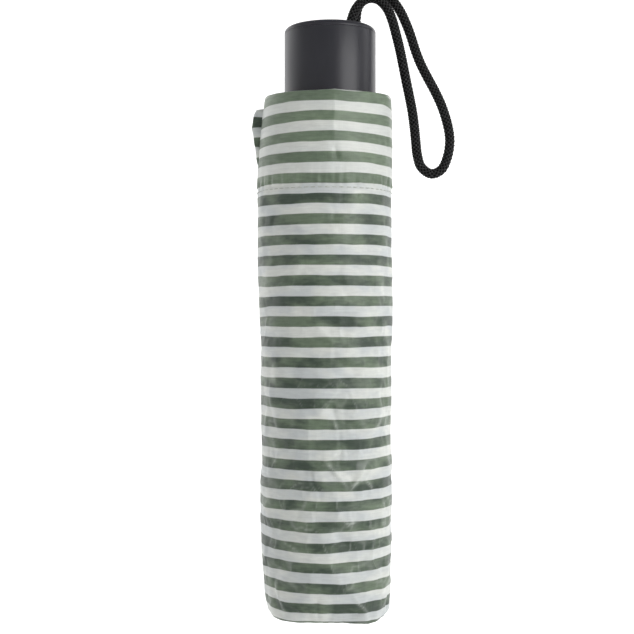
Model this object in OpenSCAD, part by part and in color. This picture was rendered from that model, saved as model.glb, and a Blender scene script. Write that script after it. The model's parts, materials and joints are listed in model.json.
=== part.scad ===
// Compact three-fold umbrella, closed and standing on the base of its sleeve, handle up.
// +Z runs along the shaft towards the handle, and the origin is on the shaft's axis at the base.
// Ribs are drawn in a plane of (radius, height) and then turned to their place round the shaft.

/* [Overall] */
// Height from the base to the top of the handle
total_h = 240; // [236:1:260]
// Height of the handle, part of which stands inside the sleeve
handle_h = 42; // [38:1:44]
// Radius of the handle
handle_r = 18.8; // [18:0.1:19.4]
// Rounding of the handle's top edge
handle_edge = 2; // [1:0.1:2.2]

/* [Sleeve] */
// Height of the sleeve
sleeve_h = 211; // [208:1:216]
// Radius of the sleeve at its widest
sleeve_r = 27.5; // [27:0.1:28]
// Thickness of the sleeve's cloth with its lining and hem
sleeve_t = 0.9; // [0.6:0.1:1]
// Radius of the flat base that the umbrella stands on
base_r = 22; // [20:0.1:22.6]
// How far the side tab stands out from the shaft's axis
tab_reach = 32.4; // [31:0.1:33]

/* [Shaft] */
// Outer radius of the tube that carries the crown
upper_tube_r = 5; // [4.9:0.01:5]
// Wall of each tube
tube_wall = 0.55; // [0.5:0.01:0.6]
// Radial running clearance between the tubes, and of the runner
slide_gap = 0.05; // [0.03:0.01:0.08]

/* [Ribs] */
// Radius of the circle on which the ribs and the runner are pivoted
pivot_r = 9; // [9:0.1:9.1]
// Radius at which the middle ribs lie when folded
mid_r = 13.1; // [13.1:0.05:13.2]
// Radius at which the tip ribs lie when folded
tip_r = 15.8; // [15.7:0.05:15.8]
// Length of a stretcher between its pivots
stretcher_len = 80; // [76:1:82]
// Thickness of the sheet metal of the rib channels
channel_t = 0.5; // [0.4:0.05:0.55]

/* [Wrist cord] */
// Diameter of the wrist cord
cord_d = 4; // [3:0.1:4]

/* [Hidden] */
$fn = 48;
eps = 0.01;
rib_count = 6;
rib_step = 360 / rib_count;

// heights along the shaft
crown_z = 16;                          // the ribs' pivots on the crown
elbow_z = 26;                          // the pivots between the middle and tip ribs
handle_z = total_h - handle_h;         // the handle's lower face
fold_z = handle_z - 16;                // the pivots between the top and middle ribs
strut_z = crown_z + stretcher_len;     // the stretchers' pivots on the top ribs
runner_z = strut_z + stretcher_len;    // the stretchers' ends at the runner
cap_z = total_h - 2.4;                 // the parting line of the handle's end cap
knot_top = total_h - 8;                // where the cord's ends meet the knot

// pivots between the rib sections, as (radius, height)
crown_pivot = [pivot_r, crown_z];
strut_pivot = [pivot_r, strut_z];
runner_pivot = [pivot_r, runner_z];
fold_pivot = [(pivot_r + mid_r) / 2, fold_z];
elbow_pivot = [mid_r + 1.5, elbow_z];

// tubes, each running inside the one before
upper_tube_in = upper_tube_r - tube_wall;
middle_tube_r = upper_tube_in - slide_gap;
middle_tube_in = middle_tube_r - tube_wall;
lower_tube_r = middle_tube_in - slide_gap;
lower_tube_in = lower_tube_r - tube_wall;
fixed_gap = 0.02;                      // round a tube in a fixed socket

// rib sections
top_w = 1.5;                           // half the width of a top rib's channel
top_d = 1.1;                           // half its depth
mid_w = 1.3;
mid_d = 1;
tip_wire_r = 0.8;
pin_gap = 0.05;                        // round a hinge pin
ring_r = 0.6;                          // the wire ring that strings the ribs on the crown
fold_pin_r = 0.7;
elbow_pin_r = 0.6;
strut_in = 1.9;                        // a stretcher lies beside its rib, between these
strut_out = 3.3;
shaft_pin_r = 1;
shaft_pin_z = handle_z + 14;

// cloth, folded against the ribs
top_cloth = [10.75, 11.05];            // radius of its faces
mid_cloth = [11.45, 11.75];
wrap_valley = 17.4;                    // the outer folds, over a rib
wrap_ridge = 19.5;                     // and at the middle of the lobe between two ribs
wrap_w = 10.9;                         // half the width of one outer fold
wrap_t = 0.4;

// the cord leaves the end cap by one strand, hangs in a loop and comes back beside it
strand_a = [8.3, -1.8];
strand_b = [10.7, 1.8];
cord_route = [
    [8.3, -1.8, 232], [8.3, -1.8, 238], [8.8, -1.9, 243.5], [11, -2, 248.6],
    [15, -2.1, 252], [19.6, -2.1, 251.8], [23.2, -2, 248.4], [25.4, -1.9, 243.6],
    [27, -1.8, 238], [28.6, -1.6, 231.6], [30, -1.3, 225], [31.4, -1.1, 218],
    [32.8, -0.9, 211.4], [34, -0.7, 205], [34.8, -0.5, 198.8], [35.4, -0.2, 193],
    [36, 0, 188], [37.6, 0, 183.2], [41.7, 0, 180.4], [46, 0.1, 182.2],
    [48.4, 0.3, 187.2], [49.4, 0.4, 192.8], [49.1, 0.6, 198], [47.8, 0.8, 203.6],
    [45.8, 1, 209.4], [43.2, 1.2, 215], [40.2, 1.3, 220.6], [37.5, 1.4, 226],
    [35.4, 1.6, 231.4], [33.5, 1.7, 237.4], [31.5, 1.9, 242.8], [28.8, 2, 248.4],
    [24.9, 2.1, 253.4], [19.6, 2.1, 255.6], [14.6, 2.1, 254], [11.6, 2, 249.4],
    [10.7, 1.9, 243.8], [10.7, 1.8, 238], [10.7, 1.8, 232]];

function numbered(name) = [for (k = [1:rib_count]) str(name, "_", k)];

// ---- helpers ----

module tube(r_out, r_in, z0, z1) {
    difference() {
        translate([0, 0, z0]) cylinder(r = r_out, h = z1 - z0);
        translate([0, 0, z0 - 1]) cylinder(r = r_in, h = z1 - z0 + 2);
    }
}

// turns a rib to its place round the shaft
module at_rib(k) {
    rotate([0, 0, rib_step * (k - 1)]) children();
}

// a flat shape in the rib's plane, from t0 to t1 across it
module slab(t0, t1) {
    rotate([90, 0, 0]) translate([0, 0, -t1]) linear_extrude(t1 - t0) children();
}

// a bar outline from p to q with round ends
module bar(p, q, rp, rq) {
    along = (q - p) / norm(q - p);
    side = [-along.y, along.x];
    translate(p) circle(rp);
    translate(q) circle(rq);
    polygon([p + side * rp, q + side * rq, q - side * rq, p - side * rp]);
}

module cheeks(inner, outer) {
    slab(inner, outer) children();
    slab(-outer, -inner) children();
}

module bore(p, r) {
    slab(-8, 8) translate(p) circle(r);
}

// ---- handle ----

module handle_shell() color([0.2, 0.2, 0.21]) {
    wall = 2.2;
    floor_t = 3;
    difference() {
        translate([0, 0, handle_z]) cylinder(r = handle_r, h = cap_z - handle_z);
        translate([0, 0, handle_z + floor_t]) cylinder(r = handle_r - wall, h = handle_h);
        translate([0, 0, handle_z - 1]) cylinder(r = lower_tube_r + 0.2, h = floor_t + 2);
    }
}

module cord_holes() {
    hole_r = cord_d / 2 + 0.15;
    across = strand_b - strand_a;
    translate([0, 0, cap_z - 10]) linear_extrude(20) {
        translate(strand_a) circle(hole_r);
        translate(strand_b) circle(hole_r);
        translate((strand_a + strand_b) / 2) rotate(atan2(across.y, across.x))
            square([norm(across), 2 * hole_r], center = true);
    }
}

module handle_end_cap() color([0.18, 0.18, 0.19]) {
    spigot_r = handle_r - 2.3;
    spigot_t = 2;
    difference() {
        union() {
            rotate_extrude() {
                translate([0, cap_z]) square([handle_r - handle_edge, total_h - cap_z]);
                translate([0, cap_z]) square([handle_r, total_h - handle_edge - cap_z]);
                translate([handle_r - handle_edge, total_h - handle_edge])
                    intersection() {
                        circle(handle_edge);
                        square(handle_edge);
                    }
            }
            tube(spigot_r, spigot_r - spigot_t, cap_z - 5, cap_z + eps);
        }
        cord_holes();
    }
}

module tube_socket() color([0.3, 0.3, 0.32]) {
    top = handle_z + 24;
    difference() {
        translate([0, 0, handle_z + 3]) cylinder(r = 7, h = top - handle_z - 3);
        translate([0, 0, handle_z]) cylinder(r = lower_tube_r + fixed_gap, h = handle_h);
        shaft_cross(shaft_pin_r + fixed_gap, 20);
    }
}

module shaft_cross(r, length) {
    translate([0, 0, shaft_pin_z]) rotate([90, 0, 0]) cylinder(r = r, h = length, center = true);
}

module shaft_pin() color([0.7, 0.7, 0.72]) shaft_cross(shaft_pin_r, 13.6);

// ---- shaft ----

module lower_tube() color([0.8, 0.8, 0.82]) {
    difference() {
        tube(lower_tube_r, lower_tube_in, 24, handle_z + 23);
        shaft_cross(shaft_pin_r + fixed_gap, 20);
    }
}

module middle_tube() color([0.75, 0.75, 0.78]) tube(middle_tube_r, middle_tube_in, 14, handle_z - 4);

module upper_tube() color([0.7, 0.7, 0.74]) tube(upper_tube_r, upper_tube_in, 6, handle_z - 8);

// ---- crown and runner ----

module crown_notch() color([0.12, 0.12, 0.13]) {
    notch_r = pivot_r + 1.6;
    slot_w = 2.6;
    difference() {
        tube(notch_r, upper_tube_r + fixed_gap, 11, crown_z + 4.4);
        for (k = [1:rib_count]) at_rib(k)
            translate([pivot_r - 2.4, -slot_w / 2, 0]) cube([6, slot_w, 30]);
        rotate_extrude() translate(crown_pivot) circle(ring_r + pin_gap);
    }
}

module crown_ring() color([0.75, 0.75, 0.77]) rotate_extrude() translate(crown_pivot) circle(ring_r);

module crown_cap() color([0.15, 0.15, 0.16]) {
    bore_r = upper_tube_r + fixed_gap;
    rotate_extrude() polygon([
        [0, 1.3], [6.4, 1.3], [8.2, 2.6], [9, 5], [9, 10.6],
        [bore_r, 10.6], [bore_r, 6], [0, 6]]);
}

// The stretchers' ends run in slots open from end to end of the runner.
module runner() color([0.14, 0.14, 0.15]) {
    collar_r = pivot_r - 1.8;
    lug_r = pivot_r + 1.4;
    slot_from = -1.9;
    slot_to = strut_out + 0.4;
    bore_r = upper_tube_r + slide_gap;
    tube(collar_r, bore_r, runner_z - 10, runner_z + 13);
    difference() {
        tube(lug_r, collar_r - 0.4, runner_z - 4, runner_z + 4);
        for (k = [1:rib_count]) at_rib(k)
            translate([collar_r, slot_from, runner_z - 10]) cube([8, slot_to - slot_from, 20]);
    }
}

// ---- ribs ----

module top_rib(k) color([0.55, 0.56, 0.58]) at_rib(k) {
    foot = crown_z + 7;
    head = fold_z - 10;
    difference() {
        union() {
            slab(-1, 1) bar(crown_pivot, [pivot_r, foot + 4], 1.7, top_d);
            slab(-top_w, top_w) translate([pivot_r + top_d - channel_t, foot]) square([channel_t, head - foot]);
            cheeks(top_w - channel_t, top_w) {
                translate([pivot_r - top_d, foot]) square([2 * top_d, head - foot]);
                bar([pivot_r, head - 1], fold_pivot, top_d, 1.7);
            }
            slab(-top_w, top_w) translate(fold_pivot) circle(fold_pin_r);
            slab(top_w - channel_t, strut_out + 0.4) translate(strut_pivot) circle(fold_pin_r);
            slab(strut_out + 0.1, strut_out + 0.4) translate(strut_pivot) circle(1.1);
        }
        bore(crown_pivot, ring_r + 0.12);
    }
}

module mid_rib(k) color([0.5, 0.51, 0.53]) at_rib(k) {
    foot = elbow_z + 10;
    head = fold_z - 9;
    difference() {
        union() {
            slab(-0.85, 0.85) bar(fold_pivot, [mid_r, head - 5], 1.6, mid_d);
            slab(-mid_w, mid_w) translate([mid_r - mid_d, foot]) square([channel_t, head - foot]);
            cheeks(mid_w - channel_t, mid_w) {
                translate([mid_r - mid_d, foot]) square([2 * mid_d, head - foot]);
                bar([mid_r, foot + 1], elbow_pivot, mid_d, 1.5);
            }
            slab(-mid_w, mid_w) translate(elbow_pivot) circle(elbow_pin_r);
        }
        bore(fold_pivot, fold_pin_r + pin_gap);
    }
}

module tip_rib(k) color([0.25, 0.25, 0.27]) at_rib(k) {
    difference() {
        union() {
            slab(-0.7, 0.7) bar(elbow_pivot, [tip_r, elbow_z + 12], 1.4, tip_wire_r);
            translate([tip_r, 0, elbow_z + 10]) cylinder(r = tip_wire_r, h = handle_z - elbow_z - 18);
            translate([tip_r, 0, handle_z - 10]) cylinder(r = 1.2, h = 6);
            translate([tip_r, 0, handle_z - 4]) sphere(r = 1.2);
        }
        bore(elbow_pivot, elbow_pin_r + pin_gap);
    }
}

module stretcher(k) color([0.6, 0.6, 0.62]) at_rib(k) {
    eye_r = 1.3;
    bar_r = 0.8;
    difference() {
        union() {
            slab(strut_in, strut_out) translate([pivot_r - bar_r, strut_z]) square([2 * bar_r, stretcher_len]);
            slab(strut_in, strut_out) translate(strut_pivot) circle(eye_r);
            slab(strut_in, strut_out) translate(runner_pivot) circle(eye_r);
        }
        bore(strut_pivot, fold_pin_r + pin_gap);
        bore(runner_pivot, 0.7);
    }
}

// ---- canopy, folded ----

module folded_strip(k, faces, half_w, z0, z1) {
    at_rib(k) translate([faces[0], -half_w, z0]) cube([faces[1] - faces[0], 2 * half_w, z1 - z0]);
}

module top_gore(k) color([0.55, 0.6, 0.54]) folded_strip(k, top_cloth, 5.2, 30, fold_z - 14);

module mid_gore(k) color([0.85, 0.87, 0.84]) folded_strip(k, mid_cloth, 5.6, 42, fold_z - 18);

// an outer fold dips over its rib and rises to a lobe on each side
function wrap_x(t) = wrap_valley + (wrap_ridge - wrap_valley) * pow(t / wrap_w, 2);

module tip_gore(k) color([0.5, 0.56, 0.5]) at_rib(k) {
    across = [for (s = [-1:0.25:1]) s * wrap_w];
    back = [for (s = [1:-0.25:-1]) s * wrap_w];
    translate([0, 0, elbow_z + 3]) linear_extrude(handle_z - elbow_z - 6)
        polygon(concat([for (t = across) [wrap_x(t), t]], [for (t = back) [wrap_x(t) + wrap_t, t]]));
}

module closing_strap() color([0.55, 0.6, 0.54])
    translate([wrap_ridge - 1, -5, 96]) cube([0.6, 10, handle_z - 106]);

module strap_snap() color([0.75, 0.75, 0.76])
    translate([wrap_ridge - 0.4, 0, 104]) rotate([0, 90, 0]) cylinder(r = 4.5, h = 1.5);

// ---- sleeve ----

// outline of the sleeve's outside, from the base up, drawn in by the cloth's thickness for its inside
function sleeve_side(inset) = [
    [base_r - inset, inset], [sleeve_r - 3.2 - inset, 2.6], [sleeve_r - 2 - inset, 6.5],
    [sleeve_r - 1.3 - inset, 14], [sleeve_r - 0.8 - inset, 55],
    [sleeve_r - 0.4 - inset, 112], [sleeve_r - inset, sleeve_h - 41],
    [sleeve_r - 0.5 - inset, sleeve_h - 20], [sleeve_r - 1.5 - inset, sleeve_h]];

module sleeve() color([0.6, 0.66, 0.6]) {
    inside = sleeve_side(sleeve_t);
    rotate_extrude($fn = 96) polygon(concat(
        [[0, 0]], sleeve_side(0), [for (k = [len(inside) - 1:-1:0]) inside[k]], [[0, sleeve_t]]));
}

module sleeve_tab() color([0.5, 0.56, 0.5]) {
    root = sleeve_r - 0.9;
    foot = sleeve_h - 32;
    rotate([0, 0, 180]) slab(-0.6, 0.6) polygon([
        [root, foot], [tab_reach - 1.6, foot + 4], [tab_reach - 0.3, foot + 11],
        [tab_reach, foot + 19], [tab_reach - 1.5, foot + 25], [root, foot + 28]]);
}

// ---- wrist cord ----

function forward(points, k) =
    let (a = points[max(k - 1, 0)], b = points[min(k + 1, len(points) - 1)]) (b - a) / norm(b - a);

// The route stays near one upright plane, so that plane's normal is a steady start for every ring.
function ring(points, k, r, sides) =
    let (f = forward(points, k), s = cross(f, [0, 1, 0]), u = s / norm(s), v = cross(f, u))
    [for (n = [0:sides - 1]) points[k] + r * (cos(360 * n / sides) * u + sin(360 * n / sides) * v)];

module swept_tube(points, r, sides) {
    rings = [for (k = [0:len(points) - 1]) each ring(points, k, r, sides)];
    last = (len(points) - 1) * sides;
    walls = [for (k = [0:len(points) - 2], n = [0:sides - 1])
        let (a = k * sides + n, b = k * sides + (n + 1) % sides)
        each [[a, b, b + sides], [a, b + sides, a + sides]]];
    ends = [[for (n = [sides - 1:-1:0]) n], [for (n = [0:sides - 1]) last + n]];
    polyhedron(points = rings, faces = concat(walls, ends), convexity = 6);
}

module wrist_cord() color([0.06, 0.06, 0.07]) swept_tube(cord_route, cord_d / 2, 8);

module cord_knot() color([0.07, 0.07, 0.08]) {
    middle = (strand_a + strand_b) / 2;
    knot_r = 4.3;
    translate([middle.x, middle.y, knot_top - knot_r - 2]) {
        sphere(r = knot_r);
        cylinder(r = knot_r, h = knot_r + 2);
    }
}

// ---- every sub-part ----

handle_shell();
handle_end_cap();
tube_socket();
shaft_pin();
lower_tube();
middle_tube();
upper_tube();
crown_notch();
crown_ring();
crown_cap();
runner();
for (k = [1:rib_count]) {
    top_rib(k);
    mid_rib(k);
    tip_rib(k);
    stretcher(k);
    top_gore(k);
    mid_gore(k);
    tip_gore(k);
}
closing_strap();
strap_snap();
sleeve();
sleeve_tab();
wrist_cord();
cord_knot();
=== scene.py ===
"""The looks of a compact folding umbrella, closed in its striped sleeve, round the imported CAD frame.

Everything is in metres in the row frame: the origin is under the shaft at the sleeve's base, +Z runs
to the handle, and the camera looks along +Y. MM turns a length given in millimetres into metres.
Angles round the shaft are measured from the front, -Y, and grow towards +X, unless a rib is meant.
"""
import json
import math
import random
from math import pi

import bmesh
import bpy
import numpy as np
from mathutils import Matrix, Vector


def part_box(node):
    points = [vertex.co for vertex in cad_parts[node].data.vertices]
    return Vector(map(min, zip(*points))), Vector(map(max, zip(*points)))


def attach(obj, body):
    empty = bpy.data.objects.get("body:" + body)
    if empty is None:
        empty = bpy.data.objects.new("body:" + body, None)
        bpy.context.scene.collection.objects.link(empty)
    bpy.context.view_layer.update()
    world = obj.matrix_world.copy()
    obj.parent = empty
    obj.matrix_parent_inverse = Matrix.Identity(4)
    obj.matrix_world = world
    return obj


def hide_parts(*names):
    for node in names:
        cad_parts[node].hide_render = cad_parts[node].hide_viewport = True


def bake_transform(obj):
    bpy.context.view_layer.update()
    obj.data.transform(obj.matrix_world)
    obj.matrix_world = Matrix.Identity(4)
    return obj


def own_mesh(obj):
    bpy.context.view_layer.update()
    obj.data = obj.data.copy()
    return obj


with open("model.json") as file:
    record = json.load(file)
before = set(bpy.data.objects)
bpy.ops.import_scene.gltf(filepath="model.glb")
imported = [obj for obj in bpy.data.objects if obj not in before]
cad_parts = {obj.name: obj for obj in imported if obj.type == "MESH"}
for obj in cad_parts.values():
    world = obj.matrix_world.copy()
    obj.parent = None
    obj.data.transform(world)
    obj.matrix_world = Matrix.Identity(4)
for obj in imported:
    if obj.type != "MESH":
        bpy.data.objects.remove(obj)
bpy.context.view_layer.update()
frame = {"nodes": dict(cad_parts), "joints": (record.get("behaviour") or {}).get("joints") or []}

MM = 0.001
SEED = 41
scene = bpy.context.scene
scene.view_settings.view_transform = "Standard"

# ---- sizes from the frame ----
SHELL_LOW, SHELL_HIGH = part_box("handle_shell")
KNOT_LOW, KNOT_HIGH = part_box("cord_knot")
STRAP_LOW, STRAP_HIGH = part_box("closing_strap")
SNAP_LOW, SNAP_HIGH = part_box("strap_snap")
HANDLE_R = SHELL_HIGH.x
HANDLE_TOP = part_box("handle_end_cap")[1].z
RIB_COUNT = 6
RIB_STEP = 2 * pi / RIB_COUNT
JOINTS = {j["name"]: j for j in frame["joints"]}

# the stripes of the cloth, which start with white at STRIPE_START
STRIPE_PITCH = 8.05 * MM
STRIPE_START = 8.8 * MM
HEM_Z = 173.6 * MM  # the stitched edge of the sleeve's top hem

# the wrist cord, by the same points as the CAD route
CORD_D = 4 * MM
CORD_ROUTE = [
    (0.0083, -0.0018, 0.232), (0.0083, -0.0018, 0.238), (0.0088, -0.0019, 0.2435),
    (0.011, -0.002, 0.2486), (0.015, -0.0021, 0.252), (0.0196, -0.0021, 0.2518),
    (0.0232, -0.002, 0.2484), (0.0254, -0.0019, 0.2436), (0.027, -0.0018, 0.238),
    (0.0286, -0.0016, 0.2316), (0.03, -0.0013, 0.225), (0.0314, -0.0011, 0.218),
    (0.0328, -0.0009, 0.2114), (0.034, -0.0007, 0.205), (0.0348, -0.0005, 0.1988),
    (0.0354, -0.0002, 0.193), (0.036, 0, 0.188), (0.0376, 0, 0.1832),
    (0.0417, 0, 0.1804), (0.046, 0.0001, 0.1822), (0.0484, 0.0003, 0.1872),
    (0.0494, 0.0004, 0.1928), (0.0491, 0.0006, 0.198), (0.0478, 0.0008, 0.2036),
    (0.0458, 0.001, 0.2094), (0.0432, 0.0012, 0.215), (0.0402, 0.0013, 0.2206),
    (0.0375, 0.0014, 0.226), (0.0354, 0.0016, 0.2314), (0.0335, 0.0017, 0.2374),
    (0.0315, 0.0019, 0.2428), (0.0288, 0.002, 0.2484), (0.0249, 0.0021, 0.2534),
    (0.0196, 0.0021, 0.2556), (0.0146, 0.0021, 0.254), (0.0116, 0.002, 0.2494),
    (0.0107, 0.0019, 0.2438), (0.0107, 0.0018, 0.238), (0.0107, 0.0018, 0.232),
]


# ---- helpers ----

def smoothstep(x, low=0.0, high=1.0):
    """From 0 at low to 1 at high, with a flat start and end."""
    t = np.clip((np.asarray(x, float) - low) / (high - low), 0, 1)
    return t * t * (3 - 2 * t)


def full_turn(count):
    """Evenly spaced angles round a circle."""
    return np.linspace(0, 2 * pi, count, endpoint=False)


def curve_through(points, step):
    """Points every step along a smooth curve through the given ones (Catmull-Rom)."""
    p = np.asarray(points, float)
    p = np.vstack([2 * p[0] - p[1], p, 2 * p[-1] - p[-2]])
    t = np.linspace(0, 1, 24, endpoint=False)[:, None]
    dense = []
    for a, b, c, d in zip(p[:-3], p[1:-2], p[2:-1], p[3:]):
        dense.append(0.5 * (2 * b + (c - a) * t + (2 * a - 5 * b + 4 * c - d) * t ** 2
                            + (3 * b - a - 3 * c + d) * t ** 3))
    dense = np.vstack(dense + [p[-2][None]])
    along = np.concatenate([[0], np.cumsum(np.linalg.norm(np.diff(dense, axis=0), axis=1))])
    stops = np.linspace(0, along[-1], max(2, round(along[-1] / step)) + 1)
    return np.stack([np.interp(stops, along, dense[:, i]) for i in range(dense.shape[1])], 1), stops


def stacked(*parts):
    """One array of points from its parts, stretched to one shape."""
    return np.stack(np.broadcast_arrays(*parts), -1)


def two_sided(front, back, uv):
    """The points and cloth coordinates of a sheet with two faces, which wraps its rows."""
    return np.concatenate([front, back[::-1]]), np.concatenate([uv, uv[::-1], uv[:1]])


def grid_piece(name, points, uv=None, wrap_rows=False, wrap_columns=False, material=None, crest_tint=None):
    """A smooth mesh of quads over points[row, column]. uv has one more row or column where it wraps.
    Points that coincide are merged, so a row of one point closes an end. The last argument gives how much
    each point is painted toward a pale grey-green along the crests of creases."""
    rows, columns = points.shape[:2]
    row, column = np.meshgrid(np.arange(rows if wrap_rows else rows - 1),
                              np.arange(columns if wrap_columns else columns - 1), indexing="ij")
    corners = [(row, column), (row, column + 1), (row + 1, column + 1), (row + 1, column)]
    quads = np.stack([(r % rows) * columns + c % columns for r, c in corners], -1).reshape(-1, 4)
    mesh = bpy.data.meshes.new(name)
    mesh.from_pydata(points.reshape(-1, 3).tolist(), [], quads.tolist())
    if uv is not None:
        layer = mesh.uv_layers.new(name="Cloth")
        values = np.stack([uv[r, c] for r, c in corners], 2).reshape(-1, 2)
        layer.data.foreach_set("uv", values.astype(np.float32).ravel())
    if crest_tint is not None:
        attribute = mesh.attributes.new("crest_tint", "FLOAT", "POINT")
        attribute.data.foreach_set("value", crest_tint.astype(np.float32).ravel())
    piece = bpy.data.objects.new(name, mesh)
    scene.collection.objects.link(piece)
    work = bmesh.new()
    work.from_mesh(mesh)
    bmesh.ops.remove_doubles(work, verts=work.verts, dist=1e-7)
    bmesh.ops.recalc_face_normals(work, faces=work.faces)
    work.to_mesh(mesh)
    work.free()
    mesh.shade_smooth()
    if material:
        mesh.materials.append(material)
    return piece


def join_pieces(name, pieces):
    """One piece of several, under a new name."""
    bpy.ops.object.select_all(action="DESELECT")
    for piece in pieces:
        piece.select_set(True)
    bpy.context.view_layer.objects.active = pieces[0]
    bpy.ops.object.join()
    pieces[0].name = name
    pieces[0].data.name = name
    return pieces[0]


def stand_in(piece, node, body):
    """The piece rides on the body in place of a CAD node, which is hidden."""
    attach(piece, body)
    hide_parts(node)


def sharpen(piece, degrees=40):
    """Keeps real edges crisp where faces meet at more than this angle."""
    piece.data.set_sharp_from_angle(angle=math.radians(degrees))


def lathe(name, profile, material, sides=160, bevel=0.0):
    """A closed body turned round the shaft's axis from (radius, height) points."""
    outline = np.asarray(profile, float)
    if bevel:
        outline = chamfered(outline, bevel)
    angle = full_turn(sides)
    r, z = outline[:, 0][:, None], outline[:, 1][:, None]
    points = np.stack([r * np.sin(angle), -r * np.cos(angle), z + 0 * angle], -1)
    piece = grid_piece(name, points, wrap_rows=True, wrap_columns=True, material=material)
    sharpen(piece)
    return piece


def chamfered(outline, size):
    """The same closed outline with each corner eased by three points of an arc."""
    eased = []
    for before, corner, after in zip(np.roll(outline, 1, 0), outline, np.roll(outline, -1, 0)):
        to_before, to_after = before - corner, after - corner
        reach = min(size, 0.45 * np.linalg.norm(to_before), 0.45 * np.linalg.norm(to_after))
        a = corner + to_before / np.linalg.norm(to_before) * reach
        b = corner + to_after / np.linalg.norm(to_after) * reach
        eased += [a, 0.25 * a + 0.5 * corner + 0.25 * b, b]
    return np.array(eased)


# ---- material nodes ----

class Nodes:
    """A short way to write a material's node tree."""

    def __init__(self, name):
        self.material = bpy.data.materials.new(name)
        self.material.use_nodes = True
        self.tree = self.material.node_tree
        self.shader = self.tree.nodes["Principled BSDF"]

    def add(self, kind, inputs=None, **settings):
        node = self.tree.nodes.new(kind)
        for key, value in settings.items():
            setattr(node, key, value)
        for key, value in (inputs or {}).items():
            self.put(node.inputs[key], value)
        return node

    def put(self, socket, value):
        if isinstance(value, bpy.types.NodeSocket):
            self.tree.links.new(value, socket)
        else:
            socket.default_value = value

    def math(self, operation, a, b=0.0):
        return self.add("ShaderNodeMath", {0: a, 1: b}, operation=operation).outputs[0]

    def times(self, a, b):
        return self.math("MULTIPLY", a, b)

    def plus(self, a, b):
        return self.math("ADD", a, b)

    def ramp(self, value, from_low, from_high, to_low=0.0, to_high=1.0):
        return self.add("ShaderNodeMapRange", {
            "Value": value, "From Min": from_low, "From Max": from_high,
            "To Min": to_low, "To Max": to_high}).outputs["Result"]

    def mix(self, factor, a, b):
        node = self.add("ShaderNodeMix", data_type="RGBA")
        self.put(node.inputs["Factor"], factor)
        self.put(node.inputs["A"], a)
        self.put(node.inputs["B"], b)
        return node.outputs["Result"]

    def place(self, kind, scale):
        """Texture coordinates of that kind, stretched by scale along each axis."""
        if kind == "Cloth":
            source = self.add("ShaderNodeUVMap", uv_map="Cloth").outputs["UV"]
        else:
            source = self.add("ShaderNodeTexCoord").outputs["Object"]
        return self.add("ShaderNodeMapping", {"Vector": source, "Scale": scale}).outputs["Vector"]

    def noise(self, where, scale=1.0, detail=3.0, roughness=0.5):
        return self.add("ShaderNodeTexNoise", {
            "Vector": where, "Scale": scale, "Detail": detail, "Roughness": roughness}).outputs["Fac"]

    def bump(self, height, strength, distance):
        return self.add("ShaderNodeBump", {
            "Height": height, "Strength": strength, "Distance": distance}).outputs["Normal"]

    def finish(self, **sockets):
        for key, value in sockets.items():
            self.put(self.shader.inputs[key.replace("_", " ")], value)
        return self.material


def grey(value, tint=(1, 1, 1)):
    return (value * tint[0], value * tint[1], value * tint[2], 1)


def scaled(colour, factor):
    return (colour[0] * factor, colour[1] * factor, colour[2] * factor, 1)


GREEN = (0.124, 0.166, 0.110, 1)
WHITE = (0.705, 0.725, 0.685, 1)


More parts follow.
